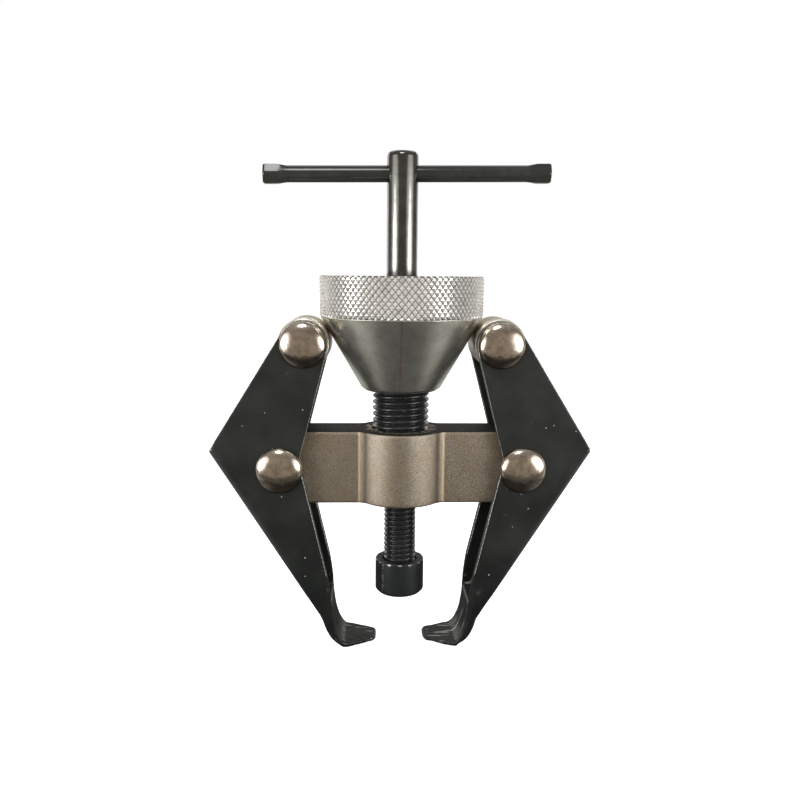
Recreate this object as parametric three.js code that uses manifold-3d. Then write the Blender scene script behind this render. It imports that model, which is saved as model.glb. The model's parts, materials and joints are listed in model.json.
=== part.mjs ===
// Two-leg cone-actuated puller, in millimetres.
// +Z runs up the tool's axis, X runs across the two legs, and the origin is on the axis
// at the height of the claw undersides.
import * as THREE from 'three';
import { mergeVertices } from 'three/addons/utils/BufferGeometryUtils.js';
import Module from 'manifold-3d';

const wasm = await Module();
wasm.setup();

// ---------- driving dimensions ----------
const CLEARANCE = 0.1; // running clearance of a turning or sliding fit, on the radius
const FACE_GAP = 0.05; // gap between two faces that touch on the real tool

const SLEEVE_R = 7.0; // M14 outside thread, at its crests
const SCREW_R = 4.0; // M8 forcing screw, at its crests

const BAR_TOP = 55.7;
const BAR_BOTTOM = 37.9;
const BAR_HALF_DEPTH = 6.05;
const HUB_R = 11.0;
const HUB_FILLET_R = 2.0;
const BAR_END_REACH = 8.4; // from the rivet to the rounded end of an arm

const PIVOT = new THREE.Vector2(29.4, 46.75); // lower rivet: the leg swings on it
const HEAD = new THREE.Vector2(23.4, 76.9); // upper rivet: it carries the roller
const HEAD_R = 5.8;
const ELBOW = new THREE.Vector2(46.45, 51.0);
const ELBOW_ROUND = 0.9; // how far the elbow's rounding reaches down each side
const HEEL = new THREE.Vector2(20.6, 9.8); // where the straight web ends and the claw starts
const INNER_VERTEX = new THREE.Vector2(24.7, 48.8);
const SHEET = 2.3; // leg sheet thickness
const CHANNEL_HALF_GAP = 6.35; // from the middle of the leg to the inside of a flange
const CHANNEL_HALF_WIDTH = CHANNEL_HALF_GAP + SHEET;
const BEND_R = 2.6; // outside radius of the channel's bends
const THROAT = new THREE.Vector2(18.2, 20.3); // where a flange's inner edge starts to turn down
const SHIN = new THREE.Vector2(16.95, 10.5); // inner side of the claw's upright
const SHIN_BEND = new THREE.Vector2(17.2, 15.0);
const FOOT_BEND = new THREE.Vector2(16.3, 3.4); // inside corner between the upright and the foot
const FOOT_TOP = new THREE.Vector2(13.8, 1.6);
const FOOT_TIP_TOP = 1.45; // heights of the foot's tip: its top, its nose and its underside
const FOOT_TIP_NOSE = 1.0;
const FOOT_TIP_BOTTOM = 0.45;
const SOLE = new THREE.Vector2(12.6, 0); // the foot's lowest edge
const SOLE_BEND = new THREE.Vector2(17.2, 0);
const ANKLE = new THREE.Vector2(19.15, 6.3); // outer side of the claw's upright
const CLAW_HALF_WIDTH = 7.4;
const CLAW_ROOT_X = 14.3; // the foot tapers from here to its tip
const CLAW_TIP_X = 5.7;
const CLAW_TIP_HALF_WIDTH = 3.4;

const RIVET_R = 3.5;
const RIVET_RIM = 0.35; // height of a rivet head's upright rim
const RIVET_HEAD_R = 5.55;
const RIVET_HEAD_HEIGHT = 2.3;
const ROLLER_R = 6.3;
const ROLLER_HALF_WIDTH = 6.15;

const NUT_TOP = 93.0;
const KNURL_BOTTOM = 83.3;
const KNURL_R = 19.95;
const CONE_BOTTOM = 65.3;
const CONE_BOTTOM_R = 9.35;
const CONE_HALF_ANGLE = THREE.MathUtils.degToRad(30);

const SLEEVE_TOP = 87.0;
const THREAD_TOP = 88.0; // where the forcing screw's thread ends and its plain shank starts
const SHANK_R = 3.75;
const SCREW_TOP = 122.3;
const CROSS_HOLE_R = 2.1;
const T_BAR_Z = 117.0;
const T_BAR_R = 1.95;
const T_BAR_HALF_LENGTH = 34.2;
const T_BAR_OFFSET = 1.2; // the bar rests a little off centre
const T_BAR_TILT = THREE.MathUtils.degToRad(0.78); // and a little askew in its loose hole
const SWAGE_LENGTH = 6.0;
const SWAGE_HALF_HEIGHT = 2.25;
const SWAGE_HALF_DEPTH = 1.8;

const CAP_R = 6.15;
const CAP_TOP = 21.85;
const CAP_BOTTOM = 13.1;
const BALL_R = 2.0;
const BALL_Z = 17.2;
const NOSE_BOTTOM = BALL_Z + 0.7; // the screw's nose, below the neck that the cap's lip holds
const NECK_BOTTOM = NOSE_BOTTOM + 1.5;
const NECK_TOP = CAP_TOP - 0.75;
const NECK_R = 3.3;
const SEAT_R = BALL_R + CLEARANCE; // drilled seats for the ball, in the screw and in the cap
const SEAT_DEPTH = BALL_R + 0.15;

const ROUND = 40; // facets round a large turned piece
const SMALL_ROUND = 24; // facets round a small one
const BEYOND = 90; // further than the tool reaches, for a cutting shape's open side

// ---------- materials ----------
const finish = (color, roughness, metalness) =>
  new THREE.MeshStandardMaterial({ color, roughness, metalness });
const castAlloy = finish(0x7d7064, 0.5, 0.9);
const blackOxide = finish(0x1c1e1e, 0.38, 0.6);
const gunmetal = finish(0x343434, 0.28, 0.85);
const turnedSteel = finish(0xa9a6a1, 0.35, 0.95);
const polishedNickel = finish(0xc9bfb6, 0.12, 1.0);
const satinNickel = finish(0xb7b2a9, 0.3, 0.95);
const hardenedSteel = finish(0xc4c4c4, 0.2, 1.0);

// ---------- shape helpers ----------
function closed(geometry) {
  geometry.deleteAttribute('normal');
  geometry.deleteAttribute('uv');
  return mergeVertices(geometry, 1e-4);
}

function toSolid(geometry) {
  const merged = closed(geometry);
  return new wasm.Manifold(new wasm.Mesh({
    numProp: 3,
    vertProperties: new Float32Array(merged.attributes.position.array),
    triVerts: new Uint32Array(merged.index.array),
  }));
}

function toGeometry(solid) {
  const mesh = solid.getMesh();
  const geometry = new THREE.BufferGeometry();
  geometry.setAttribute('position', new THREE.BufferAttribute(mesh.vertProperties, 3));
  geometry.setIndex(new THREE.BufferAttribute(mesh.triVerts, 1));
  geometry.computeVertexNormals();
  return geometry;
}

// A body turned about Z from [radius, height] points, listed up its outside.
function turned(profile, facets = ROUND) {
  const points = profile.map(([radius, height]) => new THREE.Vector2(radius, height));
  return new THREE.LatheGeometry(points, facets).rotateX(Math.PI / 2);
}

// A turned ring, from [radius, height] points listed up its outside and down its bore.
function turnedRing(profile, facets = ROUND) {
  return turned([...profile, profile[0]], facets);
}

function rod(radius, from, to, facets = SMALL_ROUND) {
  return turned([[0, from], [radius, from], [radius, to], [0, to]], facets);
}

// A body extruded along Y, from a shape drawn in X and Z.
function sidePrism(shape, halfWidth) {
  const options = { depth: 2 * halfWidth, bevelEnabled: false, curveSegments: 12 };
  return new THREE.ExtrudeGeometry(shape, options).rotateX(Math.PI / 2).translate(0, halfWidth, 0);
}

// A body extruded along Z, from a shape drawn in X and Y.
function planPrism(shape, from, to) {
  const options = { depth: to - from, bevelEnabled: false, curveSegments: 12 };
  return new THREE.ExtrudeGeometry(shape, options).translate(0, 0, from);
}

const polygon = (points) => new THREE.Shape(points.map(([x, y]) => new THREE.Vector2(x, y)));

function piece(name, geometry, material) {
  const mesh = new THREE.Mesh(geometry, material);
  mesh.name = name;
  return mesh;
}

// The point where a line from a point outside a circle touches it, on the given side (+1 or -1).
function tangentPoint(from, centre, radius, side) {
  const out = from.clone().sub(centre);
  const turn = side * Math.acos(radius / out.length());
  return out.setLength(radius).rotateAround(new THREE.Vector2(), turn).add(centre);
}

// ---------- crossbar ----------
function crossbarGeometry() {
  const fillet = HUB_R + HUB_FILLET_R;
  const filletY = BAR_HALF_DEPTH + HUB_FILLET_R;
  const filletX = Math.sqrt(fillet * fillet - filletY * filletY);
  const hubAngle = Math.atan2(filletY, filletX);
  const armEnd = PIVOT.x + HUB_R;

  const plan = new THREE.Shape();
  plan.moveTo(armEnd, -BAR_HALF_DEPTH);
  plan.lineTo(armEnd, BAR_HALF_DEPTH);
  plan.absarc(filletX, filletY, HUB_FILLET_R, -Math.PI / 2, hubAngle - Math.PI, true);
  plan.absarc(0, 0, HUB_R, hubAngle, Math.PI - hubAngle, false);
  plan.absarc(-filletX, filletY, HUB_FILLET_R, -hubAngle, -Math.PI / 2, true);
  plan.lineTo(-armEnd, BAR_HALF_DEPTH);
  plan.lineTo(-armEnd, -BAR_HALF_DEPTH);
  plan.absarc(-filletX, -filletY, HUB_FILLET_R, Math.PI / 2, hubAngle, true);
  plan.absarc(0, 0, HUB_R, hubAngle - Math.PI, -hubAngle, false);
  plan.absarc(filletX, -filletY, HUB_FILLET_R, Math.PI - hubAngle, Math.PI / 2, true);

  // The arm ends are rounded about the rivets, so the leg webs swing past them.
  const above = BAR_TOP - PIVOT.y;
  const below = PIVOT.y - BAR_BOTTOM;
  const side = new THREE.Shape();
  side.moveTo(-PIVOT.x, BAR_BOTTOM);
  side.lineTo(PIVOT.x, BAR_BOTTOM);
  side.absellipse(PIVOT.x, PIVOT.y, BAR_END_REACH, below, -Math.PI / 2, 0, false);
  side.absellipse(PIVOT.x, PIVOT.y, BAR_END_REACH, above, 0, Math.PI / 2, false);
  side.absellipse(-PIVOT.x, PIVOT.y, BAR_END_REACH, above, Math.PI / 2, Math.PI, false);
  side.absellipse(-PIVOT.x, PIVOT.y, BAR_END_REACH, below, Math.PI, 1.5 * Math.PI, false);

  let bar = toSolid(planPrism(plan, BAR_BOTTOM, BAR_TOP))
    .intersect(toSolid(sidePrism(side, HUB_R + 1)))
    .subtract(toSolid(rod(SLEEVE_R + CLEARANCE, BAR_BOTTOM - 1, BAR_TOP + 1, ROUND)));
  for (const sideX of [-1, 1]) {
    const bore = rod(RIVET_R + CLEARANCE, -HUB_R, HUB_R)
      .rotateX(Math.PI / 2)
      .translate(sideX * PIVOT.x, 0, PIVOT.y);
    bar = bar.subtract(toSolid(bore));
  }
  return toGeometry(bar);
}

// ---------- threaded sleeve, fixed in the hub ----------
function sleeveGeometry() {
  const chamfer = 0.8;
  const boreR = SCREW_R + 1.5 * CLEARANCE;
  return closed(turnedRing([
    [boreR, BAR_BOTTOM],
    [SLEEVE_R - chamfer, BAR_BOTTOM],
    [SLEEVE_R, BAR_BOTTOM + chamfer],
    [SLEEVE_R, SLEEVE_TOP - chamfer],
    [SLEEVE_R - chamfer, SLEEVE_TOP],
    [boreR, SLEEVE_TOP],
  ]));
}

// ---------- cone nut ----------
function coneNutGeometry() {
  const boreR = SLEEVE_R + 1.5 * CLEARANCE;
  const chamfer = 0.7;
  const knurlChamfer = 0.4;
  const coneTop = KNURL_BOTTOM - knurlChamfer;
  const coneTopR = CONE_BOTTOM_R + (coneTop - CONE_BOTTOM) * Math.tan(CONE_HALF_ANGLE);
  const coneStartR = CONE_BOTTOM_R + chamfer * Math.tan(CONE_HALF_ANGLE);
  return closed(turnedRing([
    [boreR, CONE_BOTTOM],
    [CONE_BOTTOM_R - chamfer, CONE_BOTTOM],
    [coneStartR, CONE_BOTTOM + chamfer],
    [coneTopR, coneTop],
    [KNURL_R - knurlChamfer, KNURL_BOTTOM],
    [KNURL_R, KNURL_BOTTOM + knurlChamfer],
    [KNURL_R, NUT_TOP - knurlChamfer],
    [KNURL_R - knurlChamfer, NUT_TOP],
    [boreR + chamfer, NUT_TOP],
    [boreR, NUT_TOP - chamfer],
  ], 60));
}

// ---------- forcing screw, T-bar, thrust ball and pressure cap ----------
function screwGeometry() {
  const edge = 0.7;
  const domeHeight = 1.2;
  const dome = [0, 0.25, 0.5, 0.75, 1].map((share) => {
    const angle = (share * Math.PI) / 2;
    return [SHANK_R * Math.cos(angle), SCREW_TOP - domeHeight * (1 - Math.sin(angle))];
  });
  const body = toSolid(turned([
    [0, BALL_Z + SEAT_DEPTH],
    [SEAT_R, BALL_Z + SEAT_DEPTH],
    [SEAT_R, NOSE_BOTTOM],
    [SCREW_R - edge, NOSE_BOTTOM],
    [SCREW_R, NOSE_BOTTOM + edge],
    [SCREW_R, NECK_BOTTOM],
    [NECK_R, NECK_BOTTOM],
    [NECK_R, NECK_TOP],
    [SCREW_R, NECK_TOP],
    [SCREW_R, THREAD_TOP],
    [SHANK_R, THREAD_TOP + edge],
    ...dome,
  ], SMALL_ROUND));
  const crossHole = rod(CROSS_HOLE_R, -2 * SCREW_R, 2 * SCREW_R)
    .rotateY(Math.PI / 2)
    .translate(0, 0, T_BAR_Z);
  return toGeometry(body.subtract(toSolid(crossHole)));
}

// The bar's ends are swaged to a taller, flatter section that can't pass the cross hole.
function tBarGeometry() {
  const straight = T_BAR_HALF_LENGTH - SWAGE_LENGTH;
  const swage = straight + 1.5; // where the section has reached its full height
  const edge = 0.4;
  const edgeStart = T_BAR_HALF_LENGTH - edge;
  const facets = 16;
  const stations = [
    [-T_BAR_HALF_LENGTH, SWAGE_HALF_HEIGHT - edge, SWAGE_HALF_DEPTH - edge],
    [-edgeStart, SWAGE_HALF_HEIGHT, SWAGE_HALF_DEPTH],
    [-swage, SWAGE_HALF_HEIGHT, SWAGE_HALF_DEPTH],
    [-straight, T_BAR_R, T_BAR_R],
    [straight, T_BAR_R, T_BAR_R],
    [swage, SWAGE_HALF_HEIGHT, SWAGE_HALF_DEPTH],
    [edgeStart, SWAGE_HALF_HEIGHT, SWAGE_HALF_DEPTH],
    [T_BAR_HALF_LENGTH, SWAGE_HALF_HEIGHT - edge, SWAGE_HALF_DEPTH - edge],
  ];
  // A unit rod along Z with a ring of points at each station, then each ring is sized.
  const profile = stations.map((_, ring) => [1, ring]);
  const bar = closed(turned([[0, 0], ...profile, [0, stations.length - 1]], facets));
  const position = bar.attributes.position;
  for (let i = 0; i < position.count; i += 1) {
    const [along, halfHeight, halfDepth] = stations[Math.round(position.getZ(i))];
    position.setXYZ(i, position.getX(i) * halfHeight, position.getY(i) * halfDepth, along);
  }
  return bar.rotateY(Math.PI / 2);
}

function capGeometry() {
  const boreR = SCREW_R + 0.3;
  const lipR = NECK_R + 0.2;
  const floor = NOSE_BOTTOM - 0.5;
  const lipBottom = NECK_BOTTOM + 0.2;
  const lipTop = NECK_TOP - 0.3;
  const topEdge = 0.5;
  const bottomEdge = 0.8;
  return closed(turned([
    [0, CAP_BOTTOM],
    [CAP_R - bottomEdge, CAP_BOTTOM],
    [CAP_R - 0.3 * bottomEdge, CAP_BOTTOM + 0.3 * bottomEdge],
    [CAP_R, CAP_BOTTOM + bottomEdge],
    [CAP_R, CAP_TOP - topEdge],
    [CAP_R - topEdge, CAP_TOP],
    [boreR + 0.15, CAP_TOP],
    [boreR, lipTop],
    [lipR, lipTop],
    [lipR, lipBottom],
    [boreR, lipBottom],
    [boreR, floor],
    [SEAT_R, floor],
    [SEAT_R, BALL_Z - SEAT_DEPTH],
    [0, BALL_Z - SEAT_DEPTH],
  ]));
}

function ballGeometry() {
  return closed(new THREE.SphereGeometry(BALL_R, 20, 12).translate(0, 0, BALL_Z));
}

// ---------- legs ----------
// The outline of one flange, from the heel up the outside, over the head and down to the claw.
function legOutline() {
  const outer = tangentPoint(ELBOW, HEAD, HEAD_R, 1);
  const inner = tangentPoint(INNER_VERTEX, HEAD, HEAD_R, -1);
  const start = outer.clone().sub(HEAD).angle();
  const end = inner.clone().sub(HEAD).angle();
  const outline = new THREE.Shape();
  outline.moveTo(HEEL.x, HEEL.y);
  const elbowStart = HEEL.clone().sub(ELBOW).setLength(ELBOW_ROUND).add(ELBOW);
  const elbowEnd = outer.clone().sub(ELBOW).setLength(ELBOW_ROUND).add(ELBOW);
  outline.lineTo(elbowStart.x, elbowStart.y);
  outline.quadraticCurveTo(ELBOW.x, ELBOW.y, elbowEnd.x, elbowEnd.y);
  outline.absarc(HEAD.x, HEAD.y, HEAD_R, start, end, false);
  outline.lineTo(INNER_VERTEX.x, INNER_VERTEX.y);
  outline.lineTo(THROAT.x, THROAT.y);
  outline.quadraticCurveTo(SHIN_BEND.x, SHIN_BEND.y, SHIN.x, SHIN.y);
  outline.quadraticCurveTo(FOOT_BEND.x, FOOT_BEND.y, FOOT_TOP.x, FOOT_TOP.y);
  outline.lineTo(CLAW_TIP_X + 0.6, FOOT_TIP_TOP);
  outline.lineTo(CLAW_TIP_X, FOOT_TIP_NOSE);
  outline.lineTo(CLAW_TIP_X + 0.8, FOOT_TIP_BOTTOM);
  outline.lineTo(SOLE.x, SOLE.y);
  outline.quadraticCurveTo(SOLE_BEND.x, SOLE_BEND.y, ANKLE.x, ANKLE.y);
  return outline;
}

const WEB_ALONG = HEEL.clone().sub(ELBOW).normalize(); // down the web, in X and Z
const WEB_INWARD = new THREE.Vector2(WEB_ALONG.y, -WEB_ALONG.x); // from the web into the leg

function webPoint(distance, depth) {
  return ELBOW.clone().addScaledVector(WEB_ALONG, distance).addScaledVector(WEB_INWARD, depth);
}

// The hollow of the channel: all that lies inside the web's inner face, and above the elbow.
function channelHollow() {
  const webTop = 0.8;
  return new THREE.Shape([
    webPoint(webTop, -SHEET),
    webPoint(webTop, SHEET),
    webPoint(ELBOW.distanceTo(HEEL) - 1, SHEET),
    new THREE.Vector2(0, SHIN.y),
    new THREE.Vector2(0, BEYOND),
    new THREE.Vector2(BEYOND, BEYOND),
    new THREE.Vector2(BEYOND, ELBOW.y),
  ]);
}

// A bar along the web with the section of the channel's outside, so that it rounds the two bends.
function bendEnvelope() {
  const reach = 70;
  const flat = CHANNEL_HALF_WIDTH - BEND_R;
  const section = new THREE.Shape();
  section.moveTo(reach, -CHANNEL_HALF_WIDTH);
  section.lineTo(reach, CHANNEL_HALF_WIDTH);
  section.absarc(BEND_R, flat, BEND_R, Math.PI / 2, Math.PI, false);
  section.lineTo(-SHEET * 2, flat);
  section.lineTo(-SHEET * 2, -flat);
  section.absarc(BEND_R, -flat, BEND_R, Math.PI, 1.5 * Math.PI, false);
  const bar = new THREE.ExtrudeGeometry(section, {
    depth: 2 * reach,
    bevelEnabled: false,
    curveSegments: 6,
  });
  bar.applyMatrix4(new THREE.Matrix4().makeBasis(
    new THREE.Vector3(WEB_INWARD.x, 0, WEB_INWARD.y),
    new THREE.Vector3(0, 1, 0),
    new THREE.Vector3(WEB_ALONG.x, 0, WEB_ALONG.y),
  ));
  const start = webPoint(-reach, 0);
  return bar.translate(start.x, 0, start.y);
}

// The claw's outline from above: full width at the web, tapering to the tip.
function clawPlan() {
  const half = [
    [BEYOND, CHANNEL_HALF_WIDTH + 1],
    [ANKLE.x, CHANNEL_HALF_WIDTH + 1],
    [SHIN.x, CLAW_HALF_WIDTH],
    [CLAW_ROOT_X, CLAW_HALF_WIDTH - 0.6],
    [CLAW_TIP_X + 0.8, CLAW_TIP_HALF_WIDTH],
    [CLAW_TIP_X - 0.1, CLAW_TIP_HALF_WIDTH - 1],
  ];
  return polygon([...half, ...half.map(([x, y]) => [x, -y]).reverse()]);
}

// The claw's outline from the jaw side: it narrows from the channel to the claw.
function clawFront() {
  const half = [
    [-1, CLAW_HALF_WIDTH],
    [FOOT_BEND.y, CLAW_HALF_WIDTH],
    [SHIN_BEND.y, CHANNEL_HALF_WIDTH + 0.5],
    [BEYOND, CHANNEL_HALF_WIDTH + 0.5],
  ];
  return polygon([...half, ...half.map(([z, y]) => [z, -y]).reverse()]);
}

function legGeometry() {
  let leg = toSolid(sidePrism(legOutline(), CHANNEL_HALF_WIDTH))
    .subtract(toSolid(sidePrism(channelHollow(), CHANNEL_HALF_GAP)))
    .intersect(toSolid(bendEnvelope()))
    .intersect(toSolid(planPrism(clawPlan(), -1, BEYOND)))
    .intersect(toSolid(planPrism(clawFront(), -BEYOND, 0).rotateY(-Math.PI / 2)));
  for (const centre of [PIVOT, HEAD]) {
    const hole = rod(RIVET_R + CLEARANCE, -HUB_R, HUB_R)
      .rotateX(Math.PI / 2)
      .translate(centre.x, 0, centre.y);
    leg = leg.subtract(toSolid(hole));
  }
  return toGeometry(leg);
}

// ---------- rivets and rollers ----------
function rivetGeometry(centre) {
  const face = CHANNEL_HALF_WIDTH + FACE_GAP;
  const domeHeight = RIVET_HEAD_HEIGHT - RIVET_RIM;
  const dome = [0.15, 0.35, 0.6, 0.85, 1].map((share) => {
    const angle = (share * Math.PI) / 2;
    return [RIVET_HEAD_R * Math.cos(angle), face + RIVET_RIM + domeHeight * Math.sin(angle)];
  });
  const upper = [
    [RIVET_R, face],
    [RIVET_HEAD_R, face],
    [RIVET_HEAD_R, face + RIVET_RIM],
    ...dome,
  ];
  upper[upper.length - 1][0] = 0;
  const lower = upper.map(([radius, height]) => [radius, -height]).reverse();
  return closed(turned([...lower, ...upper], SMALL_ROUND))
    .rotateX(Math.PI / 2)
    .translate(centre.x, 0, centre.y);
}

function rollerGeometry() {
  const boreR = RIVET_R + 2 * CLEARANCE;
  const edge = 0.6;
  return closed(turnedRing([
    [boreR, -ROLLER_HALF_WIDTH],
    [ROLLER_R - edge, -ROLLER_HALF_WIDTH],
    [ROLLER_R, -ROLLER_HALF_WIDTH + edge],
    [ROLLER_R, ROLLER_HALF_WIDTH - edge],
    [ROLLER_R - edge, ROLLER_HALF_WIDTH],
    [boreR, ROLLER_HALF_WIDTH],
  ])).rotateX(Math.PI / 2).translate(HEAD.x, 0, HEAD.y);
}

// One leg with its rivets and roller, drawn on the right and turned about the tool's axis.
function legAssembly(sideName, turn) {
  const assembly = new THREE.Group();
  assembly.rotation.z = turn;
  assembly.add(
    piece(`${sideName}_leg`, legGeometry(), blackOxide),
    piece(`${sideName}_pivot_rivet`, rivetGeometry(PIVOT), polishedNickel),
    piece(`${sideName}_roller_rivet`, rivetGeometry(HEAD), polishedNickel),
    piece(`${sideName}_roller`, rollerGeometry(), satinNickel),
  );
  return assembly;
}

// ---------- the tool ----------
const tBar = piece('t_bar', tBarGeometry(), blackOxide);
tBar.position.set(T_BAR_OFFSET, 0, T_BAR_Z);
tBar.rotation.y = -T_BAR_TILT;

const puller = new THREE.Group();
puller.add(
  piece('crossbar', crossbarGeometry(), castAlloy),
  piece('threaded_sleeve', sleeveGeometry(), blackOxide),
  piece('cone_nut', coneNutGeometry(), turnedSteel),
  piece('forcing_screw', screwGeometry(), gunmetal),
  tBar,
  piece('thrust_ball', ballGeometry(), hardenedSteel),
  piece('pressure_cap', capGeometry(), blackOxide),
  legAssembly('right', 0),
  legAssembly('left', Math.PI),
);

export default puller;
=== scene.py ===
"""Small two-leg puller with a cone nut: the looks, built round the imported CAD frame."""
import json
import math

import bmesh
import bpy
import numpy as np
from mathutils import Matrix, Vector, noise


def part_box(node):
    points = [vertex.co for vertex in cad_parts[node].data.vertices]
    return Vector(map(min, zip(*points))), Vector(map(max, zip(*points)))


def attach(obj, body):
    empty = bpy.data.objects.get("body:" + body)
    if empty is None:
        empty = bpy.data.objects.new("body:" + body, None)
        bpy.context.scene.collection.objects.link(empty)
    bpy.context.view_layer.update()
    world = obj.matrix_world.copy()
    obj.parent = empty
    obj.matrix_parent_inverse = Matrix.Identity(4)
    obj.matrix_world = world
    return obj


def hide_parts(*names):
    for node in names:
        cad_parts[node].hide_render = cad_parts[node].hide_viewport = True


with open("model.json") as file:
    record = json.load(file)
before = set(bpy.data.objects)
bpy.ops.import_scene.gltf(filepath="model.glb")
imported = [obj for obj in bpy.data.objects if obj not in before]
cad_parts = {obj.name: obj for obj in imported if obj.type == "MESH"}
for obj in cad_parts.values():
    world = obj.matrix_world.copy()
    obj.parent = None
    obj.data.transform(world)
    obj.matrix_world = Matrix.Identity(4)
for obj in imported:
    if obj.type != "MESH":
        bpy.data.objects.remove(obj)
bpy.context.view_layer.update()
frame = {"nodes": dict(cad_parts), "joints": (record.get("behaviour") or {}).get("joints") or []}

MM = 0.001
JOINTS = {joint["name"]: joint for joint in frame["joints"]}


# ---------- places and sizes, in millimetres, from the frame ----------
def box_mm(node):
    low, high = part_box(node)
    return low / MM, high / MM


def joint_mm(name):
    return Vector(JOINTS[name]["pos_m"]) / MM


BAR_LOW, BAR_HIGH = box_mm("crossbar")
SLEEVE_LOW, SLEEVE_HIGH = box_mm("threaded_sleeve")
NUT_LOW, NUT_HIGH = box_mm("cone_nut")
SCREW_LOW, SCREW_HIGH = box_mm("forcing_screw")
T_LOW, T_HIGH = box_mm("t_bar")
CAP_LOW, CAP_HIGH = box_mm("pressure_cap")
BALL_LOW, BALL_HIGH = box_mm("thrust_ball")
LEG_LOW, LEG_HIGH = box_mm("right_leg")
RIVET_LOW, RIVET_HIGH = box_mm("right_pivot_rivet")
ROLLER_LOW, ROLLER_HIGH = box_mm("right_roller")
PIVOT = joint_mm("right_leg_swing")
HEAD = joint_mm("right_roller_turn")

# Other sizes, in millimetres, and counts of what goes round a piece.
BAR_DEPTH = 6.05                         # half the bar's width along Y
HUB_FILLET = 3.0
FILLET_X = 10.3                          # how far out along X the painted highlight lines on the hub's fillets lie
KNURL_LOW = 83.3
DIAMONDS, STEPS_PER_DIAMOND = 84, 8
STAKES, STAKE_PHASE = 14, 0.07           # the phase is a share of the space between two stakes
VOXEL, QUICK_VOXEL = 0.24, 0.6
CLAW_TOP = 14.0                          # below this height the legs look forged
CLAW_PASSES, QUICK_CLAW_PASSES = 16, 4   # how often the claws are smoothed
ELBOW_TOP = 51.5


# ---------- mesh tools ----------
def new_object(name, mesh):
    thing = bpy.data.objects.new(name, mesh)
    bpy.context.scene.collection.objects.link(thing)
    return thing


def mesh_object(name, vertices_mm, faces):
    mesh = bpy.data.meshes.new(name)
    mesh.from_pydata([tuple(MM * c for c in v) for v in vertices_mm], [], faces)
    mesh.update()
    return new_object(name, mesh)


def tidy(thing, merge_mm=1e-4):
    """Merges coincident points, removes empty faces and points every face outward."""
    work = bmesh.new()
    work.from_mesh(thing.data)
    bmesh.ops.remove_doubles(work, verts=work.verts, dist=merge_mm * MM)
    bmesh.ops.dissolve_degenerate(work, edges=work.edges, dist=merge_mm * MM)
    bmesh.ops.recalc_face_normals(work, faces=work.faces)
    work.to_mesh(thing.data)
    work.free()
    return thing


def smooth(thing, degrees=35):
    thing.data.shade_smooth()
    thing.data.set_sharp_from_angle(angle=math.radians(degrees))
    return thing


def apply_modifiers(thing):
    graph = bpy.context.evaluated_depsgraph_get()
    graph.update()
    made = bpy.data.meshes.new_from_object(thing.evaluated_get(graph))
    thing.modifiers.clear()
    thing.data = made
    return thing


def cut(thing, *tools):
    """Cuts the tools out of a thing, exactly, and removes them."""
    for tool in tools:
        modifier = thing.modifiers.new("cut", "BOOLEAN")
        modifier.operation = "DIFFERENCE"
        modifier.solver = "EXACT"
        modifier.object = tool
    apply_modifiers(thing)
    for tool in tools:
        bpy.data.objects.remove(tool)
    return thing


def turned_grid(name, radii, heights, closed=False, crossed=None):
    """A body of turning: radii and heights are arrays of profile rows by steps round Z.

    Crossed is (first row, last row, period): there the faces are split along crossed diagonal grooves.
    """
    rows, steps = radii.shape
    angle = np.linspace(0, 2 * np.pi, steps, endpoint=False)
    points = np.stack([radii * np.cos(angle), radii * np.sin(angle), heights], axis=2)
    vertices = points.reshape(-1, 3).tolist()
    faces = []
    for row in range(rows if closed else rows - 1):
        here, there = row * steps, (row + 1) % rows * steps
        for step in range(steps):
            after = (step + 1) % steps
            a, b, c, d = here + step, here + after, there + after, there + step
            if crossed is None or not crossed[0] <= row < crossed[1]:
                faces.append((a, b, c, d))
            elif (step - (row - crossed[0])) % crossed[2] == 0:
                faces += [(a, b, c), (a, c, d)]
            else:
                faces += [(a, b, d), (b, c, d)]
    return tidy(mesh_object(name, vertices, faces))


def rounded(points, radius, closed=False, steps=4):
    """Rounds the corners of a profile of (radius, height) points."""
    count = len(points)
    out = []
    for i, point in enumerate(points):
        here = Vector(point)
        if not closed and i in (0, count - 1):
            out.append(here)
            continue
        before = Vector(points[i - 1]) - here
        after = Vector(points[(i + 1) % count]) - here
        reach = min(radius, 0.45 * before.length, 0.45 * after.length)
        start, end = here + before.normalized() * reach, here + after.normalized() * reach
        for k in range(steps + 1):
            t = k / steps
            out.append(start * (1 - t) ** 2 + here * 2 * t * (1 - t) + end * t * t)
    return out


def subdivided(points, longest):
    """Adds points to a profile so that no stretch is longer than given."""
    out = [points[0]]
    for a, b in zip(points, points[1:]):
        parts = max(1, math.ceil((b - a).length / longest))
        out += [a.lerp(b, (k + 1) / parts) for k in range(parts)]
    return out


def rows_of(profile, steps):
    """Rows of radii and of heights from a profile that is the same all round."""
    radii = np.array([[point[0]] * steps for point in profile])
    heights = np.array([[point[1]] * steps for point in profile])
    return radii, heights


def turned(name, points, radius, steps=96, closed=False):
    return turned_grid(name, *rows_of(rounded(points, radius, closed), steps), closed)


def lay_along_y(thing, centre):
    """Turns a body made about Z so that it lies along Y, with its middle at the centre."""
    thing.data.transform(Matrix.Translation(Vector(centre) * MM) @ Matrix.Rotation(math.pi / 2, 4, "X"))
    return thing


def rod_along(name, radius, half_length, axis, centre):
    low, high = -half_length, half_length
    rod = turned(name, [(0, low), (radius, low), (radius, high), (0, high)], 0, 64)
    turn = Matrix()
    if axis != "Z":
        turn = Matrix.Rotation(math.pi / 2, 4, "Y" if axis == "X" else "X")
    rod.data.transform(Matrix.Translation(Vector(centre) * MM) @ turn)
    return rod


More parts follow.
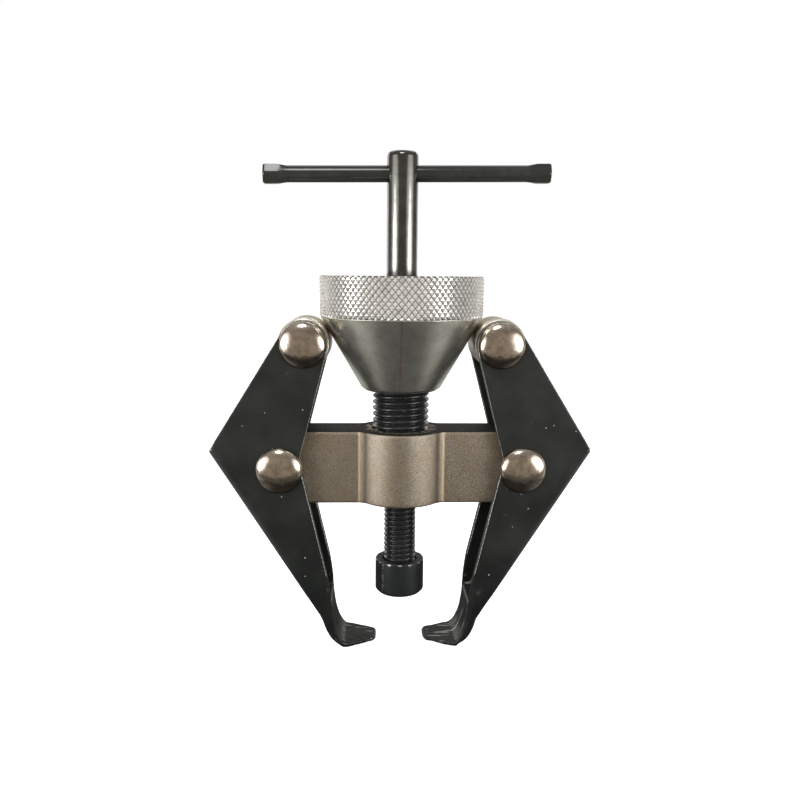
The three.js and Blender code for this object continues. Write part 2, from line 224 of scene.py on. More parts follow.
# ---------- threads ----------
def thread_rows(crest, depth, pitch, low, high, steps, per_pitch=16, run_out=1.0, flat=1.22):
    """Rows of a right-hand thread: rounded roots, ends run out, and a flat crest if flat is over 1."""
    rows = round((high - low) / pitch * per_pitch)
    height = np.linspace(low, high, rows + 1)[:, None]
    turn = np.linspace(0, 1, steps, endpoint=False)[None, :]
    phase = (height / pitch - turn) % 1.0
    wave = np.clip(1 - np.abs(2 * phase - 1) * flat, 0, 1)
    groove = wave * wave * (3 - 2 * wave) * 0.4 + wave * 0.6
    fade = np.clip(np.minimum(height - low, high - height) / run_out, 0, 1)
    return crest - depth * groove * fade, np.broadcast_to(height, (rows + 1, steps))


def stacked(steps, *parts):
    """Joins profile rows: each part is a list of (radius, height) points or a pair of row arrays."""
    pairs = [part if isinstance(part, tuple) else rows_of(part, steps) for part in parts]
    return np.vstack([radii for radii, heights in pairs]), np.vstack([heights for radii, heights in pairs])


def make_sleeve():
    crest = SLEEVE_HIGH.x
    bore, steps, chamfer = 4.2, 128, 1.0
    low, high = SLEEVE_LOW.z, SLEEVE_HIGH.z
    thread = thread_rows(crest, 0.86, 1.5, BAR_HIGH.z - 2, high - chamfer, steps)
    foot = [(bore, low), (crest - 0.6, low), (crest, low + 0.6), (crest, BAR_HIGH.z - 2.01)]
    head = [(crest - chamfer, high), (bore + 0.5, high), (bore, high - 0.5)]
    sleeve = turned_grid("sleeve_thread", *stacked(steps, foot, thread, head), closed=True)
    return smooth(sleeve, 60)


def make_screw():
    crest, shank, steps = SCREW_HIGH.x, 3.75, 96
    thread_low, thread_high = 21.1, 88.0
    nose = rounded([(0, 19.35), (2.1, 19.35), (2.1, 17.9), (3.4, 17.9), (4.0, 18.5), (4.0, 19.4),
                    (3.3, 19.4), (3.3, thread_low - 0.01)], 0.15)
    thread = thread_rows(crest, 0.58, 1.25, thread_low, thread_high, steps, run_out=0.6, flat=1.5)
    top = [(shank, thread_high + 0.6), (shank, thread_high + 1.0), (0, thread_high + 1.0)]
    thread_part = turned_grid("screw_thread", *stacked(steps, nose, thread, top))

    top_z = SCREW_HIGH.z
    bar_z = (T_LOW.z + T_HIGH.z) / 2
    outline = [(0, thread_high + 0.98), (shank - 0.04, thread_high + 0.98), (shank - 0.04, bar_z - 6),
               (shank, bar_z - 3), (shank, top_z - 1.0), (shank - 0.7, top_z - 0.25), (0, top_z)]
    upper = turned("screw_shank", outline, 0.5)
    hole = rod_along("hole", 2.1, 8, "X", (0, 0, bar_z))
    cut(upper, hole)
    smooth(upper, 35)
    smooth(thread_part, 60)
    return thread_part, upper


# ---------- cone nut ----------
def knurl_rows(radius, low, high):
    """Rows of a diamond knurl: two crossed families of V grooves leave small pyramids."""
    diamond_height, depth = 1.75, 0.46
    rows = int((high - low) / diamond_height * STEPS_PER_DIAMOND)
    height = low + (np.arange(rows + 1) * diamond_height / STEPS_PER_DIAMOND)[:, None]
    around = (np.arange(DIAMONDS * STEPS_PER_DIAMOND) / STEPS_PER_DIAMOND)[None, :]
    climb = (height - low) / diamond_height
    first, second = (around + climb) % 1.0, (around - climb) % 1.0
    ridge = np.minimum(1 - np.abs(2 * first - 1), 1 - np.abs(2 * second - 1))
    edge = np.clip(np.minimum(height - low, high - height) / 0.3, 0, 1)
    radii = radius - depth * (1 - np.clip(ridge * 1.08, 0, 1)) - 0.3 * (1 - edge)
    return radii, np.broadcast_to(height, radii.shape)


def make_nut():
    low, high, radius = NUT_LOW.z, NUT_HIGH.z, NUT_HIGH.x
    bore, steps = 7.15, DIAMONDS * STEPS_PER_DIAMOND
    slope = math.tan(math.radians(30))

    def cone(z):
        return 9.35 + (z - low) * slope

    lower = rounded([(bore, low + 0.7), (bore + 0.7, low), (8.65, low), (cone(low + 0.7), low + 0.7),
                     (cone(KNURL_LOW - 0.06), KNURL_LOW - 0.06), (19.5, KNURL_LOW)], 0.12)
    lower = subdivided(lower, 2.0)
    upper = rounded([(19.5, high), (19.0, high), (12.5, high), (12.2, high - 0.25), (8.5, high - 0.25),
                     (bore, high - 1.2)], 0.15)
    knurl = knurl_rows(radius, KNURL_LOW + 0.02, high - 0.02)
    crossed = (len(lower), len(lower) + len(knurl[0]) - 1, STEPS_PER_DIAMOND)
    nut = turned_grid("knurled_cone_nut", *stacked(steps, lower, knurl, upper), closed=True, crossed=crossed)
    return smooth(nut, 28)


# ---------- T-bar ----------
def make_t_bar():
    """A round bar whose ends are swaged to a taller six-sided section, a little askew in its hole."""
    middle = (T_LOW + T_HIGH) / 2
    tilt = Vector(JOINTS["t_bar_slide"]["axis"])
    half, radius, steps = (T_HIGH.x - T_LOW.x) / 2 - 0.03, 1.95, 48
    tall, deep, swage, flare, edge = 2.23, 1.8, 6.0, 3.0, 0.45
    ends = np.concatenate([np.linspace(half, half - edge, 6), np.linspace(half - 1, half - swage - 1, 22)])
    along = np.concatenate([-ends, np.linspace(-half + swage + 2, half - swage - 2, 24), ends[::-1]])
    angle = np.linspace(0, 2 * np.pi, steps, endpoint=False)
    circle = np.stack([radius * np.cos(angle), radius * np.sin(angle)], axis=1)
    side = np.pi / 3
    reach = math.cos(side / 2) / np.cos(angle % side - side / 2)
    wide, high = 1.06 * deep * reach, tall / math.sin(side) * reach
    hexagon = np.stack([wide * np.cos(angle), high * np.sin(angle)], axis=1)
    hexagon[:, 0] = np.clip(hexagon[:, 0], -deep, deep)
    vertices, faces = [], []
    for x in along:
        mix = min(max((abs(x) - (half - swage)) / flare, 0), 1)
        mix = mix * mix * (3 - 2 * mix)
        tip = min(max((abs(x) - (half - edge)) / edge, 0), 1)
        section = (circle * (1 - mix) + hexagon * mix) * (1 - 0.14 * tip * tip)
        rise = x * tilt.z / tilt.x
        vertices += [(middle.x + x, middle.y + y, middle.z + z + rise) for y, z in section]
    for row in range(len(along) - 1):
        here, there = row * steps, (row + 1) * steps
        for step in range(steps):
            after = (step + 1) % steps
            faces.append((here + step, here + after, there + after, there + step))
    faces.append(tuple(range(steps)))
    faces.append(tuple((len(along) - 1) * steps + step for step in range(steps)))
    return smooth(tidy(mesh_object("swaged_t_bar", vertices, faces)), 24)


# ---------- pressure cap and ball ----------
def make_cap():
    """The cap is staked over the screw's neck at points round its top edge."""
    low, high, radius, steps = CAP_LOW.z, CAP_HIGH.z, CAP_HIGH.x, 18 * STAKES
    outside = [(0, low), (radius - 0.8, low), (radius, low + 0.8), (radius, high - 0.8),
               (radius, high - 0.2), (radius - 0.2, high)]
    lip = [(4.45, high), (4.3, high - 1.05), (3.5, high - 1.05), (3.5, high - 2.25), (4.3, high - 2.25)]
    seat = [(4.3, 17.4), (2.1, 17.4), (2.1, 15.05), (0, 15.05)]
    radii, heights = rows_of(rounded(outside + lip + seat, 0.2, steps=6), steps)
    angle = np.linspace(0, 2 * np.pi, steps, endpoint=False)
    from_stake = (angle * STAKES / (2 * np.pi) + STAKE_PHASE) % 1.0 - 0.5
    dent = np.exp(-(from_stake / 0.13) ** 2)[None, :]
    edge = np.clip((heights - (high - 0.75)) / 0.4, 0, 1) * np.clip((radii - 5.2) / 0.6, 0, 1)
    heights = heights - 0.08 * dent * edge
    radii = radii - 0.08 * dent * edge
    return smooth(turned_grid("swivel_pressure_cap", radii, heights), 40)


def make_ball():
    centre, radius = (BALL_LOW.z + BALL_HIGH.z) / 2, (BALL_HIGH.x - BALL_LOW.x) / 2
    arc = [(radius * math.sin(a), centre - radius * math.cos(a)) for a in np.linspace(0, math.pi, 25)]
    arc[0], arc[-1] = (0, centre - radius), (0, centre + radius)
    return smooth(turned_grid("cap_thrust_ball", *rows_of(arc, 48)), 60)


# ---------- rivets and rollers ----------
def make_rivet(name, centre):
    face = LEG_HIGH.y + 0.05
    tip, head, shank, rim = RIVET_HIGH.y, (RIVET_HIGH.x - RIVET_LOW.x) / 2, 3.5, 0.3
    dome = [(head * math.cos(a) ** 0.9, face + rim + (tip - face - rim) * math.sin(a))
            for a in np.linspace(0.12, math.pi / 2, 20)]
    dome[-1] = (0, tip)
    upper = [(shank, face), (head, face), (head, face + rim * 0.8), *dome]
    profile = [(r, -z) for r, z in reversed(upper)] + upper
    rivet = smooth(turned_grid(name, *rows_of(profile, 96)), 50)
    return lay_along_y(rivet, (centre.x, 0, centre.z))


def make_roller(name, centre):
    half, radius, bore = ROLLER_HIGH.y, (ROLLER_HIGH.x - ROLLER_LOW.x) / 2, 3.7
    points = [(bore, -half), (radius - 0.5, -half), (radius, -half + 0.5), (radius, half - 0.5),
              (radius - 0.5, half), (bore, half)]
    return lay_along_y(smooth(turned(name, points, 0.25, 128, closed=True), 40), (centre.x, 0, centre.z))


# ---------- crossbar ----------
def arc_points(x, y, radius, start, end, parts):
    return [(x + radius * math.cos(a), y + radius * math.sin(a)) for a in np.linspace(start, end, parts + 1)]


def crossbar_outline(end_x, inset):
    """The bar's plan outline as points, counter-clockwise, drawn in by the inset."""
    hub, fillet, half = 11.0 - inset, HUB_FILLET + inset, BAR_DEPTH - inset
    reach = hub + fillet
    fy = half + fillet
    fx = math.sqrt(reach * reach - fy * fy)
    hub_angle = math.atan2(fy, fx)
    quarter = [(end_x - inset, y) for y in np.linspace(0, half, 5)[:-1]]
    quarter += [(x, half) for x in np.linspace(end_x - inset, fx, 25)[:-1]]
    quarter += arc_points(fx, fy, fillet, -math.pi / 2, hub_angle - math.pi, 10)[:-1]
    quarter += arc_points(0, 0, hub, hub_angle, math.pi / 2, 16)
    second = [(-x, y) for x, y in reversed(quarter[:-1])]
    upper = quarter + second
    return upper + [(-x, -y) for x, y in upper[1:-1]]


def make_crossbar():
    low, high = BAR_LOW.z, BAR_HIGH.z
    edge, reach = 0.45, 8.4
    heights = [low + edge * (1 - math.cos(a)) for a in np.linspace(0, math.pi / 2, 5)]
    heights += list(np.linspace(low + edge, high - edge, 30)[1:-1])
    heights += [high - edge * (1 - math.cos(a)) for a in np.linspace(math.pi / 2, 0, 5)]
    vertices, faces, rows = [], [], []
    for z in heights:
        from_end = min(z - low, high - z)
        inset = edge - math.sqrt(max(edge * edge - (edge - min(from_end, edge)) ** 2, 0))
        tall = (high - PIVOT.z) if z > PIVOT.z else (PIVOT.z - low)
        end_x = PIVOT.x + reach * math.sqrt(max(1 - ((z - PIVOT.z) / (tall + 0.02)) ** 2, 0.002))
        row = crossbar_outline(end_x, inset)
        rows.append(range(len(vertices), len(vertices) + len(row)))
        vertices += [(x, y, z) for x, y in row]
    count = len(rows[0])
    for here, there in zip(rows, rows[1:]):
        for k in range(count):
            after = (k + 1) % count
            faces.append((here[k], here[after], there[after], there[k]))
    faces += [tuple(reversed(rows[0])), tuple(rows[-1])]
    bar = tidy(mesh_object("cast_crossbar", vertices, faces))
    middle = (low + high) / 2
    tools = [rod_along("bore", SLEEVE_HIGH.x + 0.1, 20, "Z", (0, 0, middle))]
    tools += [rod_along("bore", 3.6, 12, "Y", (s * PIVOT.x, 0, PIVOT.z)) for s in (1, -1)]
    cut(bar, *tools)
    return smooth(bar, 35)


# ---------- legs ----------
def make_leg(name, node):
    leg = new_object(name, frame["nodes"][node].data.copy())
    leg.data.materials.clear()
    remesh = leg.modifiers.new("remesh", "REMESH")
    remesh.mode = "VOXEL"
    remesh.voxel_size = VOXEL * MM
    soften = leg.modifiers.new("soften", "SMOOTH")
    soften.factor = 0.5
    soften.iterations = 3
    apply_modifiers(leg)
    forge_claw(leg)
    leg.data.shade_smooth()
    return leg


def forge_claw(leg):
    """Rounds the claw's corners and adds forging grooves, which fade out up the channel."""
    mesh = leg.data
    work = bmesh.new()
    work.from_mesh(mesh)
    claw = [v for v in work.verts if v.co.z < CLAW_TOP * MM]
    for _ in range(CLAW_PASSES):
        bmesh.ops.smooth_vert(
            work, verts=claw, factor=0.5, use_axis_x=True, use_axis_y=True, use_axis_z=True)
    work.to_mesh(mesh)
    work.free()
    normals = [v.normal.copy() for v in mesh.vertices]
    for vertex, normal in zip(mesh.vertices, normals):
        z = vertex.co.z / MM
        if z > CLAW_TOP:
            continue
        strength = min(1, (CLAW_TOP - z) / 6)
        p = vertex.co / MM
        along = Vector((p.y * 0.9, p.x * 0.18 + p.z * 0.18, 0))
        depth = 0.15 * noise.noise(along * 1.5) + 0.05 * noise.noise(p * 0.9) - 0.07
        vertex.co += normal * depth * strength * MM
    mesh.update()


# ---------- materials ----------
class Tree:
    """A short way to write a node tree."""

    def __init__(self, tree):
        self.tree = tree
        self.tree.nodes.clear()

    def add(self, kind, **values):
        node = self.tree.nodes.new(kind)
        for key, value in values.items():
            setattr(node, key, value)
        return node

    def link(self, source, target):
        self.tree.links.new(source, target)

    def feed(self, node, name, value):
        if isinstance(value, bpy.types.NodeSocket):
            self.link(value, node.inputs[name])
        elif isinstance(value, tuple) and len(value) == 3 and len(node.inputs[name].default_value) == 4:
            node.inputs[name].default_value = (*value, 1)
        else:
            node.inputs[name].default_value = value

    def ramp(self, value, *stops):
        node = self.add("ShaderNodeValToRGB")
        elements = node.color_ramp.elements
        while len(elements) < len(stops):
            elements.new(0.5)
        for element, (place, color) in zip(elements, stops):
            element.position = place
            element.color = (*color, 1) if isinstance(color, tuple) else (color, color, color, 1)
        self.link(value, node.inputs[0])
        return node.outputs[0]

    def math(self, operation, a, b=0.0):
        node = self.add("ShaderNodeMath", operation=operation)
        self.feed(node, 0, a)
        self.feed(node, 1, b)
        return node.outputs[0]

    def times(self, a, b):
        return self.math("MULTIPLY", a, b)

    def plus(self, a, b):
        return self.math("ADD", a, b)

    def magnitude(self, value):
        return self.math("ABSOLUTE", value)

    def inverse(self, value):
        return self.math("SUBTRACT", 1.0, value)

    def between(self, value, low, high):
        """0 below low, 1 above high, and smooth between."""
        node = self.add("ShaderNodeMapRange", interpolation_type="SMOOTHSTEP")
        for index, each in enumerate((value, low, high)):
            self.feed(node, index, each)
        return node.outputs[0]

    def off_axis(self, x, y):
        """How far a point is from the tool's axis."""
        return self.math("SQRT", self.plus(self.times(x, x), self.times(y, y)))

    def mix(self, share, a, b):
        node = self.add("ShaderNodeMix", data_type="RGBA")
        for name, value in ((0, share), (6, a), (7, b)):
            self.feed(node, name, value)
        return node.outputs[2]

    def mix_shaders(self, share, a, b):
        node = self.add("ShaderNodeMixShader")
        for index, value in enumerate((share, a, b)):
            self.feed(node, index, value)
        return node.outputs[0]

    def axes(self, vector):
        node = self.add("ShaderNodeSeparateXYZ")
        self.link(vector, node.inputs[0])
        return node.outputs


class Material(Tree):
    """A material with one Principled shader. Texture scales are in features per millimetre."""

    def __init__(self, name):
        self.material = bpy.data.materials.new(name)
        self.material.use_nodes = True
        super().__init__(self.material.node_tree)
        self.output = self.add("ShaderNodeOutputMaterial")
        self.shader = self.add("ShaderNodeBsdfPrincipled")
        self.link(self.shader.outputs[0], self.output.inputs[0])
        self.place = self.add("ShaderNodeTexCoord").outputs["Object"]

    def stretched(self, x, y, z):
        node = self.add("ShaderNodeMapping")
        self.feed(node, "Vector", self.place)
        node.inputs["Scale"].default_value = (x, y, z)
        return node.outputs[0]

    def noise(self, per_mm, detail=3.0, rough=0.5, place=None):
        node = self.add("ShaderNodeTexNoise")
        self.feed(node, "Vector", place or self.place)
        self.feed(node, "Scale", per_mm / MM)
        self.feed(node, "Detail", detail)
        self.feed(node, "Roughness", rough)
        return node.outputs["Fac"]

    def pits(self, per_mm, size, share):
        """Round pits: 1 on the surface and 0 in a pit. A share of the cells holds one."""
        cells = self.add("ShaderNodeTexVoronoi")
        self.feed(cells, "Vector", self.place)
        self.feed(cells, "Scale", per_mm / MM)
        chosen = self.math("LESS_THAN", self.axes(cells.outputs["Color"])[0], share)
        depth = self.inverse(self.between(cells.outputs["Distance"], size * 0.4, size))
        return self.inverse(self.times(depth, chosen))

    def bump(self, height, depth_mm, strength=1.0, under=None):
        node = self.add("ShaderNodeBump")
        self.feed(node, "Height", height)
        self.feed(node, "Distance", depth_mm * MM)
        self.feed(node, "Strength", strength)
        if under is not None:
            self.link(under, node.inputs["Normal"])
        return node.outputs[0]

    def edges(self, low, high):
        """Where the surface is convex, from 0 to 1."""
        point = self.add("ShaderNodeNewGeometry").outputs["Pointiness"]
        return self.between(point, low, high)

    def upward(self, low, high):
        """Where the surface faces up the tool, from 0 to 1."""
        normal = self.axes(self.add("ShaderNodeTexCoord").outputs["Normal"])
        return self.between(normal[2], low, high)

    def finish(self, color, roughness, metallic=1.0, normal=None):
        self.feed(self.shader, "Base Color", color)
        self.feed(self.shader, "Roughness", roughness)
        self.feed(self.shader, "Metallic", metallic)
        if normal is not None:
            self.feed(self.shader, "Normal", normal)
        return self.material


def darker(color, share):
    return tuple(share * c for c in color)


def cast_alloy():
    """A bronze-grey blasted casting, with small pits, coloured nearly black on the faces that point up
    except where worn.
    """
    m = Material("cast_alloy")
    grain = m.noise(3.4, 5, 0.65)
    cloud = m.noise(0.18, 3)
    lines = m.noise(0.9, 4, 0.6, m.stretched(0.25, 0.25, 5.0))
    pits = m.pits(2.0, 0.3, 0.3)
    bronze, pewter, up_facing_dark = (0.29, 0.235, 0.172), (0.31, 0.275, 0.225), (0.014, 0.016, 0.014)
    color = m.mix(m.between(cloud, 0.35, 0.68), bronze, pewter)
    color = m.mix(m.between(grain, 0.38, 0.56), darker(bronze, 0.7), color)
    color = m.mix(m.times(m.between(lines, 0.55, 0.72), 0.35), color, darker(pewter, 0.55))
    color = m.mix(pits, darker(bronze, 0.3), color)
    color = m.mix(m.times(m.edges(0.54, 0.62), 0.7), color, (0.80, 0.72, 0.58))
    x, y, _ = m.axes(m.place)
    # Painted highlight: a thin warm line on each fillet, at FILLET_X from the axis.
    from_fillet = m.magnitude(m.math("SUBTRACT", m.magnitude(x), FILLET_X * MM))
    fillet_highlight = m.inverse(m.between(from_fillet, 0.0, 0.0005))
    color = m.mix(m.times(fillet_highlight, 0.7), color, (0.80, 0.62, 0.42))
    # Painted shade: a dark band on each hub flank, just inside the fillet's painted highlight.
    from_flank = m.magnitude(m.plus(from_fillet, -0.0014))
    shade = m.inverse(m.between(from_flank, 0.0, 0.0011))
    hub_side = m.math("LESS_THAN", m.magnitude(x), 0.0102)
    color = m.mix(m.times(m.times(shade, hub_side), 0.9), color, darker(bronze, 0.25))
    reach = m.off_axis(x, y)
    ring = m.math("SUBTRACT", m.between(reach, 0.0070, 0.0076), m.between(reach, 0.0086, 0.0094))
    ring = m.times(ring, m.between(m.noise(0.8, 3), 0.45, 0.55))
    worn = m.math("MAXIMUM", m.times(m.between(m.noise(0.7, 5, 0.7), 0.60, 0.68), 0.4), ring)
    # Faces that point up are coloured nearly black and made less glossy, except where worn.
    top = m.times(m.upward(0.55, 0.9), m.inverse(worn))
    color = m.mix(top, color, up_facing_dark)
    rough = m.plus(m.ramp(grain, (0.3, 0.46), (0.7, 0.32)), m.times(top, 0.2))
    normal = m.bump(grain, 0.13, 0.9)
    normal = m.bump(lines, 0.012, 0.6, normal)
    normal = m.bump(pits, 0.06, 0.8, normal)
    metal = m.times(0.8, m.inverse(top))
    m.feed(m.shader, "Specular IOR Level", m.math("SUBTRACT", 0.5, m.times(top, 0.38)))
    return m.finish(color, rough, metal, normal)


def turned_steel():
    """Turned steel: fine rings, a bright knurl with painted shade in its grooves, and painted reflections on
    the cone: brown beside the rollers and a reddish line down its front.
    """
    m = Material("turned_steel")
    rings = m.noise(1.0, 5, 0.7, m.stretched(0.1, 0.1, 9.0))
    stain = m.noise(0.3, 4, 0.6)
    specks = m.pits(1.3, 0.15, 0.2)
    x, y, z = m.axes(m.place)
    steel, knurl, brown = (0.70, 0.69, 0.63), (0.93, 0.915, 0.88), (0.62, 0.50, 0.36)
    color = m.mix(m.between(stain, 0.35, 0.7), steel, darker(steel, 0.8))
    # Painted reflection of the rollers: the cone is coloured brown beside them.
    side = m.inverse(m.between(m.magnitude(y), 0.004, 0.0085))
    high = m.times(m.between(z, 0.071, 0.078), side)
    color = m.mix(m.times(high, m.between(stain, 0.3, 0.6)), color, brown)
    # Painted reflection: a thin reddish line down the cone's front.
    reflection_line = m.math("LESS_THAN", m.magnitude(m.plus(x, 0.7 * MM)), 0.0002)
    color = m.mix(m.times(reflection_line, m.between(stain, 0.3, 0.7)), color, (0.60, 0.40, 0.36))
    color = m.mix(specks, (0.95, 0.95, 0.93), color)
    cut = m.between(z, (KNURL_LOW - 0.05) * MM, (KNURL_LOW + 0.05) * MM)
    color = m.mix(cut, color, m.mix(m.between(m.noise(0.5, 4), 0.5, 0.8), knurl, darker(knurl, 0.7)))
    rough = m.plus(m.ramp(rings, (0.3, 0.27), (0.7, 0.38)), m.times(cut, -0.06))
    # Painted shade: the bottoms of the knurl's grooves are coloured dark.
    reach = m.off_axis(x, y)
    groove = m.times(cut, m.inverse(m.between(reach, 0.01949, 0.01968)))
    color = m.mix(m.times(groove, 0.75), color, (0.10, 0.10, 0.095))
    metal = m.inverse(m.times(cut, 0.36))
    return m.finish(color, rough, metal, m.bump(rings, 0.006, 0.55))


def gunmetal():
    m = Material("gunmetal")
    rings = m.noise(1.0, 4, 0.65, m.stretched(0.15, 0.15, 6.0))
    cloud = m.noise(0.35, 4)
    tint = (0.16, 0.16, 0.15)
    color = m.mix(m.between(cloud, 0.3, 0.75), tint, darker(tint, 0.75))
    return m.finish(color, m.ramp(rings, (0.3, 0.15), (0.7, 0.24)), 1.0, m.bump(rings, 0.004, 0.5))


def stake_glints(m):
    """Painted highlights: bright glints where the cap's top edge is staked."""
    x, y, z = m.axes(m.place)
    turns = m.math("DIVIDE", m.math("ARCTAN2", y, x), 2 * math.pi / STAKES)
    off = m.magnitude(m.math("SUBTRACT", m.math("FRACT", m.plus(turns, 100 + STAKE_PHASE)), 0.5))
    near = m.inverse(m.between(off, 0.13, 0.2))
    rim = m.math("LESS_THAN", m.magnitude(m.math("SUBTRACT", z, CAP_HIGH.z * MM - 0.00025)), 0.00014)
    return m.times(m.times(near, rim), m.between(m.noise(1.2, 2), 0.4, 0.5))


def black_oxide(name, tint, low_rough, high_rough, metallic=0.4, worn=(0.42, 0.42, 0.4), glints=None):
    """Blackened steel, with bright wear on its sharp edges and a fine tooling grain."""
    m = Material(name)
    fine = m.noise(2.4, 5, 0.65)
    cloud = m.noise(0.25, 3)
    scratch = m.noise(1.0, 4, 0.7, m.stretched(0.3, 0.3, 5.0))
    base = m.mix(m.between(cloud, 0.3, 0.75), tint, darker(tint, 1.5))
    broken = m.between(m.noise(0.9, 4, 0.7), 0.48, 0.62)
    wear = m.times(m.times(m.edges(0.57, 0.68), broken), 0.6)
    # Painted highlights that a caller gives, such as the cap's stake glints, are coloured like the wear.
    if glints is not None:
        wear = m.math("MAXIMUM", wear, glints(m))
    base = m.mix(wear, base, worn)
    base = m.mix(m.times(m.between(scratch, 0.66, 0.74), 0.25), base, darker(worn, 0.3))
    rough = m.ramp(fine, (0.3, low_rough), (0.7, high_rough))
    metal = m.math("MAXIMUM", wear, metallic)
    return m.finish(base, rough, metal, m.bump(fine, 0.004, 0.5))


def cut_wear_and_highlight(m):
    """Cut edges of a leg's sheet: all of them above the elbow, worn to bare metal, and below it those
    towards the axis, where the light line is a painted highlight.
    """
    nx, ny, _ = m.axes(m.add("ShaderNodeTexCoord").outputs["Normal"])
    x, _, z = m.axes(m.place)
    across = m.magnitude(ny)
    corner = m.math("SUBTRACT", m.between(across, 0.2, 0.4), m.between(across, 0.8, 0.93))
    above = m.math("GREATER_THAN", z, ELBOW_TOP * MM)
    # Below the elbow only the edges towards the axis count; their light line is a painted highlight.
    towards_axis = m.math("LESS_THAN", m.times(nx, x), 0.0)
    inner = m.times(towards_axis, m.math("GREATER_THAN", z, 0.02))
    return m.times(corner, m.math("MAXIMUM", above, inner))


def leg_black():
    """Black over steel sheet, glossy and a little uneven, worn to bare metal along its edges, with painted
    highlight lines on its inner edges and painted glints on its claws.
    """
    m = Material("leg_black")
    peel = m.noise(1.3, 3)
    cloud = m.noise(0.12, 4)
    fine = m.noise(4.0, 4, 0.7)
    base = m.mix(m.between(cloud, 0.3, 0.75), (0.009, 0.0105, 0.010), (0.016, 0.0185, 0.017))
    specks = m.pits(0.55, 0.11, 0.16)
    base = m.mix(specks, (0.5, 0.48, 0.44), base)
    broken = m.between(m.noise(1.4, 4, 0.7), 0.32, 0.52)
    # Wear on the cut edges, with the painted highlight line on the inner edges.
    wear = m.times(m.times(cut_wear_and_highlight(m), broken), 0.85)
    claw = m.inverse(m.between(m.axes(m.place)[2], 0.010, 0.017))
    # Painted highlights: thin bright glints along the claws.
    claw_glints = m.between(m.noise(1.0, 3, 0.5, m.stretched(0.12, 1.0, 0.12)), 0.62, 0.67)
    wear = m.math("MAXIMUM", wear, m.times(m.times(claw, claw_glints), 0.6))
    base = m.mix(wear, base, (0.46, 0.45, 0.42))
    m.feed(m.shader, "Specular IOR Level", m.math("SUBTRACT", 0.5, m.times(claw, 0.25)))
    rough = m.plus(m.ramp(cloud, (0.3, 0.24), (0.7, 0.36)), m.times(fine, 0.08))
    normal = m.bump(fine, 0.006, 0.5, m.bump(peel, 0.02, 0.45))
    return m.finish(base, rough, m.times(wear, 0.4), normal)


def nickel(name, tint, low_rough, high_rough, dent_mm, metallic=1.0, underside_shade=0.0):
    """Plated metal with faint dents, clouding and fine scratches, and, where asked for, a painted dark
    reflection on its underside.
    """
    m = Material(name)
    cloud = m.noise(0.55, 5, 0.6)
    dents = m.noise(0.8, 3, 0.55)
    fine = m.noise(5.0, 4, 0.7)
    color = m.mix(m.between(cloud, 0.35, 0.65), tint, darker(tint, 0.62))
    # Painted dark reflection: faces that point down get a dark colour.
    facing = m.axes(m.add("ShaderNodeTexCoord").outputs["Normal"])[2]
    facing = m.plus(facing, m.times(m.math("SUBTRACT", cloud, 0.5), 0.5))
    under = m.inverse(m.between(facing, -0.21, -0.13))
    color = m.mix(m.times(under, underside_shade), color, (0.05, 0.035, 0.03))
    rough = m.plus(m.ramp(cloud, (0.3, low_rough), (0.7, high_rough)), m.times(fine, 0.04))
    return m.finish(color, rough, metallic, m.bump(fine, 0.004, 0.5, m.bump(dents, dent_mm, 0.6)))


MATERIALS = {
    "cast_alloy": cast_alloy(),
    "turned_steel": turned_steel(),
    "black_oxide_thread": black_oxide("black_oxide_thread", (0.028, 0.029, 0.03), 0.2, 0.32, 0.5),
    "gunmetal": gunmetal(),
    "black_oxide_bar": black_oxide("black_oxide_bar", (0.032, 0.035, 0.032), 0.13, 0.2, 0.35),
    "black_oxide_cap": black_oxide(
        "black_oxide_cap", (0.011, 0.0135, 0.013), 0.36, 0.5, 0.2, (0.5, 0.5, 0.5), stake_glints),
    "black_leg": leg_black(),
    "polished_nickel": nickel("polished_nickel", (0.72, 0.62, 0.52), 0.11, 0.2, 0.05, 1.0, 0.7),
    "satin_nickel": nickel("satin_nickel", (0.93, 0.88, 0.78), 0.24, 0.34, 0.02, 0.6),
    "hardened_steel": nickel("hardened_steel", (0.6, 0.6, 0.6), 0.08, 0.14, 0.0),
}


def place(piece, body, node, slot):
    """Gives a piece its finish, and hangs it on its body in place of its CAD node."""
    piece.data.materials.clear()
    piece.data.materials.append(MATERIALS[slot])
    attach(piece, body)
    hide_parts(node)


# ---------- the tool ----------
place(make_crossbar(), "frame", "crossbar", "cast_alloy")
place(make_sleeve(), "frame", "threaded_sleeve", "black_oxide_thread")
place(make_nut(), "nut", "cone_nut", "turned_steel")
screw_thread, screw_shank = make_screw()
place(screw_thread, "screw", "forcing_screw", "black_oxide_thread")
place(screw_shank, "screw", "forcing_screw", "gunmetal")
place(make_t_bar(), "t_bar", "t_bar", "black_oxide_bar")
place(make_cap(), "cap", "pressure_cap", "black_oxide_cap")
place(make_ball(), "thrust_ball", "thrust_ball", "hardened_steel")
for side, sign in (("right", 1), ("left", -1)):
    pivot = Vector((sign * PIVOT.x, 0, PIVOT.z))
    head = Vector((sign * HEAD.x, 0, HEAD.z))
    place(make_leg(f"{side}_channel_leg", f"{side}_leg"), f"{side}_leg", f"{side}_leg", "black_leg")
    place(make_rivet(f"{side}_lower_rivet", pivot), f"{side}_leg", f"{side}_pivot_rivet", "polished_nickel")
    place(make_rivet(f"{side}_upper_rivet", head), f"{side}_leg", f"{side}_roller_rivet", "polished_nickel")
    place(make_roller(f"{side}_cone_roller", head), f"{side}_roller", f"{side}_roller", "satin_nickel")


# ---------- floor, light and camera ----------
# What the metal reflects, from straight down to straight up, in front of the tool and behind it.
ROOM = ((0.0, (0.05, 0.048, 0.045)), (0.49, (0.31, 0.275, 0.225)), (0.6, (0.34, 0.305, 0.255)),
        (0.72, (0.24, 0.22, 0.195)), (1.0, (0.40, 0.39, 0.37)))


